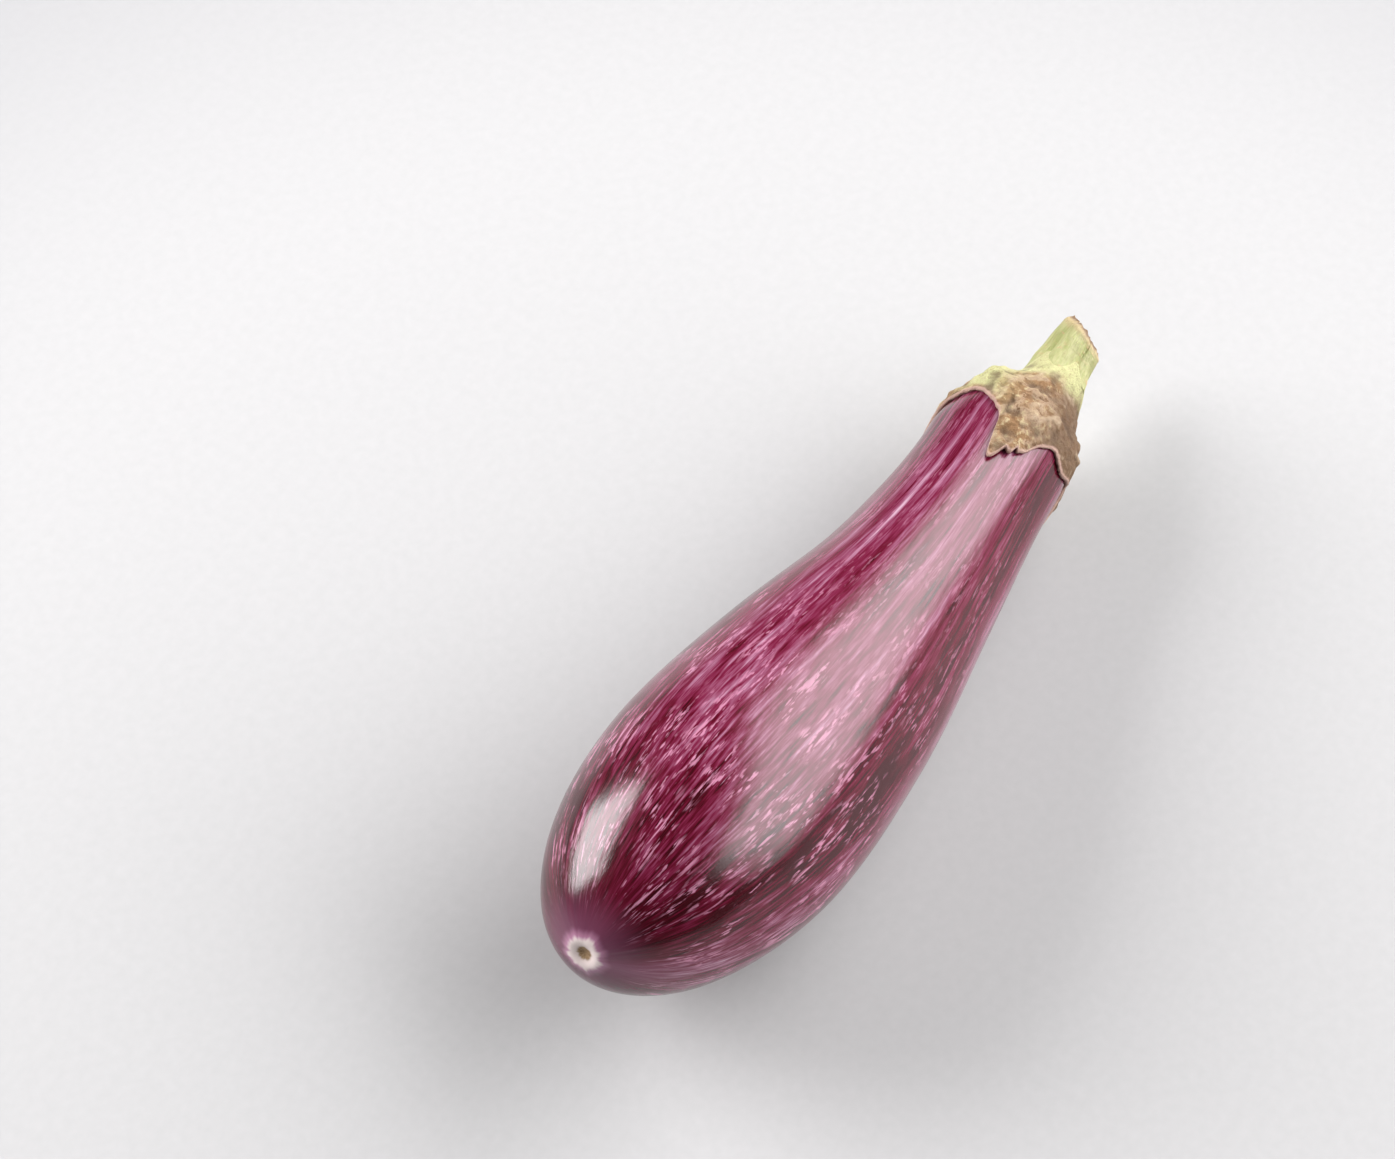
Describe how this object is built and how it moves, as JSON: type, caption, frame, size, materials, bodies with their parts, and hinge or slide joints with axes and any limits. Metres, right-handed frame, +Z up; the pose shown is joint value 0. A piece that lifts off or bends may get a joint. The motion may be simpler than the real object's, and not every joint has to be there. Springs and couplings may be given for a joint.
{
  "type": "eggplant",
  "caption": "Striped eggplant as picked, lying on its side, with a lobed calyx on its slim neck and a short cut stem.",
  "frame": {"origin": "middle of the small flat spot under the belly that the fruit rests on, close to straight under its centre of mass", "axes": "+X along the fruit from the blossom end to the stem, +Y sideways, +Z up"},
  "size_m": [0.2105, 0.0583, 0.0593],
  "materials": {
    "skin": "glossy waxy skin, deep maroon with magenta, lilac and near-white streaks along its length",
    "calyx": "matte, leathery and wrinkled, tan to olive brown",
    "stem": "satin pale yellow-green with soft ribs and a browned cut end"
  },
  "bodies": {
    "root": {"fruit": "skin", "calyx": "calyx", "stem": "stem"}
  },
  "joints": []
}
